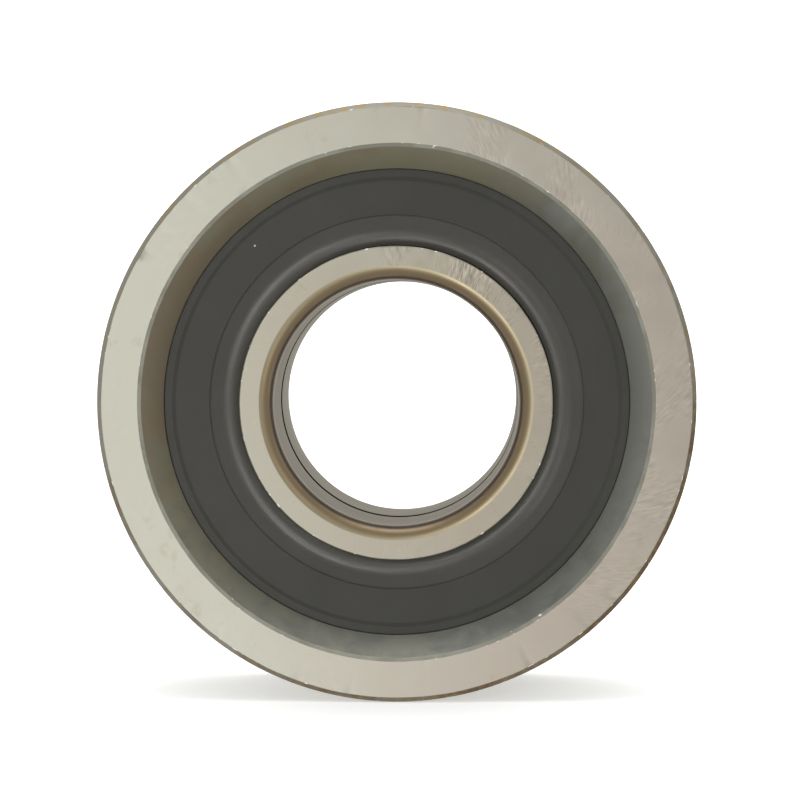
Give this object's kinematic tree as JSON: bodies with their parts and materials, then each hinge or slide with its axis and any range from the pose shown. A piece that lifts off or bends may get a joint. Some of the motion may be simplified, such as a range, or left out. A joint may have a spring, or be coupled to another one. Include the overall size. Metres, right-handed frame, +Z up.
{
  "type": "track roller",
  "caption": "Sealed track roller: a thick outer ring rolls on two rows of tapered rollers round a split inner ring with a plain bore for a fixed axle.",
  "frame": {"origin": "centre of the bore, on the plane where the two inner rings meet", "axes": "+Y along the axle from the front face to the rear face, +Z up, +X to the right seen from the front"},
  "size_m": [0.22, 0.1, 0.22],
  "materials": {
    "outer_ring_steel": "ground faces and tread, turned recess",
    "inner_ring_steel": "ground face and bore, turned golden corner",
    "roller_steel": "fine ground",
    "cage_steel": "pressed sheet",
    "insert_steel": "pressed sheet",
    "spring_steel": "drawn wire and spring strip",
    "seal_rubber": "smooth moulded, slightly glossy"
  },
  "bodies": {
    "inner_rings": {"inner_ring_front": "inner_ring_steel", "inner_ring_rear": "inner_ring_steel", "coupling_ring": "spring_steel"},
    "outer_ring": {"outer_ring": "outer_ring_steel", "seal_front": "seal_rubber", "seal_rear": "seal_rubber", "seal_insert_front": "insert_steel", "seal_insert_rear": "insert_steel", "garter_spring_front": "spring_steel", "garter_spring_rear": "spring_steel"},
    "cage_front": {"cage_front": "cage_steel"},
    "cage_rear": {"cage_rear": "cage_steel"},
    "roller_front_01": {"roller_front_01": "roller_steel"},
    "roller_front_02": {"roller_front_02": "roller_steel"},
    "roller_front_03": {"roller_front_03": "roller_steel"},
    "roller_front_04": {"roller_front_04": "roller_steel"},
    "roller_front_05": {"roller_front_05": "roller_steel"},
    "roller_front_06": {"roller_front_06": "roller_steel"},
    "roller_front_07": {"roller_front_07": "roller_steel"},
    "roller_front_08": {"roller_front_08": "roller_steel"},
    "roller_front_09": {"roller_front_09": "roller_steel"},
    "roller_front_10": {"roller_front_10": "roller_steel"},
    "roller_front_11": {"roller_front_11": "roller_steel"},
    "roller_front_12": {"roller_front_12": "roller_steel"},
    "roller_front_13": {"roller_front_13": "roller_steel"},
    "roller_front_14": {"roller_front_14": "roller_steel"},
    "roller_front_15": {"roller_front_15": "roller_steel"},
    "roller_front_16": {"roller_front_16": "roller_steel"},
    "roller_front_17": {"roller_front_17": "roller_steel"},
    "roller_front_18": {"roller_front_18": "roller_steel"},
    "roller_front_19": {"roller_front_19": "roller_steel"},
    "roller_front_20": {"roller_front_20": "roller_steel"},
    "roller_rear_01": {"roller_rear_01": "roller_steel"},
    "roller_rear_02": {"roller_rear_02": "roller_steel"},
    "roller_rear_03": {"roller_rear_03": "roller_steel"},
    "roller_rear_04": {"roller_rear_04": "roller_steel"},
    "roller_rear_05": {"roller_rear_05": "roller_steel"},
    "roller_rear_06": {"roller_rear_06": "roller_steel"},
    "roller_rear_07": {"roller_rear_07": "roller_steel"},
    "roller_rear_08": {"roller_rear_08": "roller_steel"},
    "roller_rear_09": {"roller_rear_09": "roller_steel"},
    "roller_rear_10": {"roller_rear_10": "roller_steel"},
    "roller_rear_11": {"roller_rear_11": "roller_steel"},
    "roller_rear_12": {"roller_rear_12": "roller_steel"},
    "roller_rear_13": {"roller_rear_13": "roller_steel"},
    "roller_rear_14": {"roller_rear_14": "roller_steel"},
    "roller_rear_15": {"roller_rear_15": "roller_steel"},
    "roller_rear_16": {"roller_rear_16": "roller_steel"},
    "roller_rear_17": {"roller_rear_17": "roller_steel"},
    "roller_rear_18": {"roller_rear_18": "roller_steel"},
    "roller_rear_19": {"roller_rear_19": "roller_steel"},
    "roller_rear_20": {"roller_rear_20": "roller_steel"}
  },
  "joints": [
    {"name": "outer_ring_spin", "type": "hinge", "parent": "inner_rings", "child": "outer_ring", "pos_m": [0, 0, 0], "axis": [0, 1, 0], "continuous": true},
    {"name": "cage_front_spin", "type": "hinge", "parent": "inner_rings", "child": "cage_front", "pos_m": [0, 0, 0], "axis": [0, 1, 0], "continuous": true},
    {"name": "cage_rear_spin", "type": "hinge", "parent": "inner_rings", "child": "cage_rear", "pos_m": [0, 0, 0], "axis": [0, 1, 0], "continuous": true},
    {"name": "roller_front_01_spin", "type": "hinge", "parent": "cage_front", "child": "roller_front_01", "pos_m": [0.0705, -0.0174, 0], "axis": [-0.225, 0.9744, 0], "continuous": true},
    {"name": "roller_front_02_spin", "type": "hinge", "parent": "cage_front", "child": "roller_front_02", "pos_m": [0.06705, -0.0174, 0.02179], "axis": [-0.2139, 0.9744, -0.0695], "continuous": true},
    {"name": "roller_front_03_spin", "type": "hinge", "parent": "cage_front", "child": "roller_front_03", "pos_m": [0.05704, -0.0174, 0.04144], "axis": [-0.182, 0.9744, -0.1322], "continuous": true},
    {"name": "roller_front_04_spin", "type": "hinge", "parent": "cage_front", "child": "roller_front_04", "pos_m": [0.04144, -0.0174, 0.05704], "axis": [-0.1322, 0.9744, -0.182], "continuous": true},
    {"name": "roller_front_05_spin", "type": "hinge", "parent": "cage_front", "child": "roller_front_05", "pos_m": [0.02179, -0.0174, 0.06705], "axis": [-0.0695, 0.9744, -0.2139], "continuous": true},
    {"name": "roller_front_06_spin", "type": "hinge", "parent": "cage_front", "child": "roller_front_06", "pos_m": [0, -0.0174, 0.0705], "axis": [0, 0.9744, -0.225], "continuous": true},
    {"name": "roller_front_07_spin", "type": "hinge", "parent": "cage_front", "child": "roller_front_07", "pos_m": [-0.02179, -0.0174, 0.06705], "axis": [0.0695, 0.9744, -0.2139], "continuous": true},
    {"name": "roller_front_08_spin", "type": "hinge", "parent": "cage_front", "child": "roller_front_08", "pos_m": [-0.04144, -0.0174, 0.05704], "axis": [0.1322, 0.9744, -0.182], "continuous": true},
    {"name": "roller_front_09_spin", "type": "hinge", "parent": "cage_front", "child": "roller_front_09", "pos_m": [-0.05704, -0.0174, 0.04144], "axis": [0.182, 0.9744, -0.1322], "continuous": true},
    {"name": "roller_front_10_spin", "type": "hinge", "parent": "cage_front", "child": "roller_front_10", "pos_m": [-0.06705, -0.0174, 0.02179], "axis": [0.2139, 0.9744, -0.0695], "continuous": true},
    {"name": "roller_front_11_spin", "type": "hinge", "parent": "cage_front", "child": "roller_front_11", "pos_m": [-0.0705, -0.0174, 0], "axis": [0.225, 0.9744, 0], "continuous": true},
    {"name": "roller_front_12_spin", "type": "hinge", "parent": "cage_front", "child": "roller_front_12", "pos_m": [-0.06705, -0.0174, -0.02179], "axis": [0.2139, 0.9744, 0.0695], "continuous": true},
    {"name": "roller_front_13_spin", "type": "hinge", "parent": "cage_front", "child": "roller_front_13", "pos_m": [-0.05704, -0.0174, -0.04144], "axis": [0.182, 0.9744, 0.1322], "continuous": true},
    {"name": "roller_front_14_spin", "type": "hinge", "parent": "cage_front", "child": "roller_front_14", "pos_m": [-0.04144, -0.0174, -0.05704], "axis": [0.1322, 0.9744, 0.182], "continuous": true},
    {"name": "roller_front_15_spin", "type": "hinge", "parent": "cage_front", "child": "roller_front_15", "pos_m": [-0.02179, -0.0174, -0.06705], "axis": [0.0695, 0.9744, 0.2139], "continuous": true},
    {"name": "roller_front_16_spin", "type": "hinge", "parent": "cage_front", "child": "roller_front_16", "pos_m": [0, -0.0174, -0.0705], "axis": [0, 0.9744, 0.225], "continuous": true},
    {"name": "roller_front_17_spin", "type": "hinge", "parent": "cage_front", "child": "roller_front_17", "pos_m": [0.02179, -0.0174, -0.06705], "axis": [-0.0695, 0.9744, 0.2139], "continuous": true},
    {"name": "roller_front_18_spin", "type": "hinge", "parent": "cage_front", "child": "roller_front_18", "pos_m": [0.04144, -0.0174, -0.05704], "axis": [-0.1322, 0.9744, 0.182], "continuous": true},
    {"name": "roller_front_19_spin", "type": "hinge", "parent": "cage_front", "child": "roller_front_19", "pos_m": [0.05704, -0.0174, -0.04144], "axis": [-0.182, 0.9744, 0.1322], "continuous": true},
    {"name": "roller_front_20_spin", "type": "hinge", "parent": "cage_front", "child": "roller_front_20", "pos_m": [0.06705, -0.0174, -0.02179], "axis": [-0.2139, 0.9744, 0.0695], "continuous": true},
    {"name": "roller_rear_01_spin", "type": "hinge", "parent": "cage_rear", "child": "roller_rear_01", "pos_m": [0.0705, 0.0174, 0], "axis": [0.225, 0.9744, 0], "continuous": true},
    {"name": "roller_rear_02_spin", "type": "hinge", "parent": "cage_rear", "child": "roller_rear_02", "pos_m": [0.06705, 0.0174, -0.02179], "axis": [0.2139, 0.9744, -0.0695], "continuous": true},
    {"name": "roller_rear_03_spin", "type": "hinge", "parent": "cage_rear", "child": "roller_rear_03", "pos_m": [0.05704, 0.0174, -0.04144], "axis": [0.182, 0.9744, -0.1322], "continuous": true},
    {"name": "roller_rear_04_spin", "type": "hinge", "parent": "cage_rear", "child": "roller_rear_04", "pos_m": [0.04144, 0.0174, -0.05704], "axis": [0.1322, 0.9744, -0.182], "continuous": true},
    {"name": "roller_rear_05_spin", "type": "hinge", "parent": "cage_rear", "child": "roller_rear_05", "pos_m": [0.02179, 0.0174, -0.06705], "axis": [0.0695, 0.9744, -0.2139], "continuous": true},
    {"name": "roller_rear_06_spin", "type": "hinge", "parent": "cage_rear", "child": "roller_rear_06", "pos_m": [0, 0.0174, -0.0705], "axis": [0, 0.9744, -0.225], "continuous": true},
    {"name": "roller_rear_07_spin", "type": "hinge", "parent": "cage_rear", "child": "roller_rear_07", "pos_m": [-0.02179, 0.0174, -0.06705], "axis": [-0.0695, 0.9744, -0.2139], "continuous": true},
    {"name": "roller_rear_08_spin", "type": "hinge", "parent": "cage_rear", "child": "roller_rear_08", "pos_m": [-0.04144, 0.0174, -0.05704], "axis": [-0.1322, 0.9744, -0.182], "continuous": true},
    {"name": "roller_rear_09_spin", "type": "hinge", "parent": "cage_rear", "child": "roller_rear_09", "pos_m": [-0.05704, 0.0174, -0.04144], "axis": [-0.182, 0.9744, -0.1322], "continuous": true},
    {"name": "roller_rear_10_spin", "type": "hinge", "parent": "cage_rear", "child": "roller_rear_10", "pos_m": [-0.06705, 0.0174, -0.02179], "axis": [-0.2139, 0.9744, -0.0695], "continuous": true},
    {"name": "roller_rear_11_spin", "type": "hinge", "parent": "cage_rear", "child": "roller_rear_11", "pos_m": [-0.0705, 0.0174, 0], "axis": [-0.225, 0.9744, 0], "continuous": true},
    {"name": "roller_rear_12_spin", "type": "hinge", "parent": "cage_rear", "child": "roller_rear_12", "pos_m": [-0.06705, 0.0174, 0.02179], "axis": [-0.2139, 0.9744, 0.0695], "continuous": true},
    {"name": "roller_rear_13_spin", "type": "hinge", "parent": "cage_rear", "child": "roller_rear_13", "pos_m": [-0.05704, 0.0174, 0.04144], "axis": [-0.182, 0.9744, 0.1322], "continuous": true},
    {"name": "roller_rear_14_spin", "type": "hinge", "parent": "cage_rear", "child": "roller_rear_14", "pos_m": [-0.04144, 0.0174, 0.05704], "axis": [-0.1322, 0.9744, 0.182], "continuous": true},
    {"name": "roller_rear_15_spin", "type": "hinge", "parent": "cage_rear", "child": "roller_rear_15", "pos_m": [-0.02179, 0.0174, 0.06705], "axis": [-0.0695, 0.9744, 0.2139], "continuous": true},
    {"name": "roller_rear_16_spin", "type": "hinge", "parent": "cage_rear", "child": "roller_rear_16", "pos_m": [0, 0.0174, 0.0705], "axis": [0, 0.9744, 0.225], "continuous": true},
    {"name": "roller_rear_17_spin", "type": "hinge", "parent": "cage_rear", "child": "roller_rear_17", "pos_m": [0.02179, 0.0174, 0.06705], "axis": [0.0695, 0.9744, 0.2139], "continuous": true},
    {"name": "roller_rear_18_spin", "type": "hinge", "parent": "cage_rear", "child": "roller_rear_18", "pos_m": [0.04144, 0.0174, 0.05704], "axis": [0.1322, 0.9744, 0.182], "continuous": true},
    {"name": "roller_rear_19_spin", "type": "hinge", "parent": "cage_rear", "child": "roller_rear_19", "pos_m": [0.05704, 0.0174, 0.04144], "axis": [0.182, 0.9744, 0.1322], "continuous": true},
    {"name": "roller_rear_20_spin", "type": "hinge", "parent": "cage_rear", "child": "roller_rear_20", "pos_m": [0.06705, 0.0174, 0.02179], "axis": [0.2139, 0.9744, 0.0695], "continuous": true}
  ],
  "couplings": [
    {"joint": "cage_front_spin", "follows": "outer_ring_spin", "ratio": 0.56565},
    {"joint": "cage_rear_spin", "follows": "outer_ring_spin", "ratio": 0.56565},
    {"joint": "roller_front_01_spin", "follows": "outer_ring_spin", "ratio": 3.6466},
    {"joint": "roller_front_02_spin", "follows": "outer_ring_spin", "ratio": 3.6466},
    {"joint": "roller_front_03_spin", "follows": "outer_ring_spin", "ratio": 3.6466},
    {"joint": "roller_front_04_spin", "follows": "outer_ring_spin", "ratio": 3.6466},
    {"joint": "roller_front_05_spin", "follows": "outer_ring_spin", "ratio": 3.6466},
    {"joint": "roller_front_06_spin", "follows": "outer_ring_spin", "ratio": 3.6466},
    {"joint": "roller_front_07_spin", "follows": "outer_ring_spin", "ratio": 3.6466},
    {"joint": "roller_front_08_spin", "follows": "outer_ring_spin", "ratio": 3.6466},
    {"joint": "roller_front_09_spin", "follows": "outer_ring_spin", "ratio": 3.6466},
    {"joint": "roller_front_10_spin", "follows": "outer_ring_spin", "ratio": 3.6466},
    {"joint": "roller_front_11_spin", "follows": "outer_ring_spin", "ratio": 3.6466},
    {"joint": "roller_front_12_spin", "follows": "outer_ring_spin", "ratio": 3.6466},
    {"joint": "roller_front_13_spin", "follows": "outer_ring_spin", "ratio": 3.6466},
    {"joint": "roller_front_14_spin", "follows": "outer_ring_spin", "ratio": 3.6466},
    {"joint": "roller_front_15_spin", "follows": "outer_ring_spin", "ratio": 3.6466},
    {"joint": "roller_front_16_spin", "follows": "outer_ring_spin", "ratio": 3.6466},
    {"joint": "roller_front_17_spin", "follows": "outer_ring_spin", "ratio": 3.6466},
    {"joint": "roller_front_18_spin", "follows": "outer_ring_spin", "ratio": 3.6466},
    {"joint": "roller_front_19_spin", "follows": "outer_ring_spin", "ratio": 3.6466},
    {"joint": "roller_front_20_spin", "follows": "outer_ring_spin", "ratio": 3.6466},
    {"joint": "roller_rear_01_spin", "follows": "outer_ring_spin", "ratio": 3.6466},
    {"joint": "roller_rear_02_spin", "follows": "outer_ring_spin", "ratio": 3.6466},
    {"joint": "roller_rear_03_spin", "follows": "outer_ring_spin", "ratio": 3.6466},
    {"joint": "roller_rear_04_spin", "follows": "outer_ring_spin", "ratio": 3.6466},
    {"joint": "roller_rear_05_spin", "follows": "outer_ring_spin", "ratio": 3.6466},
    {"joint": "roller_rear_06_spin", "follows": "outer_ring_spin", "ratio": 3.6466},
    {"joint": "roller_rear_07_spin", "follows": "outer_ring_spin", "ratio": 3.6466},
    {"joint": "roller_rear_08_spin", "follows": "outer_ring_spin", "ratio": 3.6466},
    {"joint": "roller_rear_09_spin", "follows": "outer_ring_spin", "ratio": 3.6466},
    {"joint": "roller_rear_10_spin", "follows": "outer_ring_spin", "ratio": 3.6466},
    {"joint": "roller_rear_11_spin", "follows": "outer_ring_spin", "ratio": 3.6466},
    {"joint": "roller_rear_12_spin", "follows": "outer_ring_spin", "ratio": 3.6466},
    {"joint": "roller_rear_13_spin", "follows": "outer_ring_spin", "ratio": 3.6466},
    {"joint": "roller_rear_14_spin", "follows": "outer_ring_spin", "ratio": 3.6466},
    {"joint": "roller_rear_15_spin", "follows": "outer_ring_spin", "ratio": 3.6466},
    {"joint": "roller_rear_16_spin", "follows": "outer_ring_spin", "ratio": 3.6466},
    {"joint": "roller_rear_17_spin", "follows": "outer_ring_spin", "ratio": 3.6466},
    {"joint": "roller_rear_18_spin", "follows": "outer_ring_spin", "ratio": 3.6466},
    {"joint": "roller_rear_19_spin", "follows": "outer_ring_spin", "ratio": 3.6466},
    {"joint": "roller_rear_20_spin", "follows": "outer_ring_spin", "ratio": 3.6466}
  ]
}
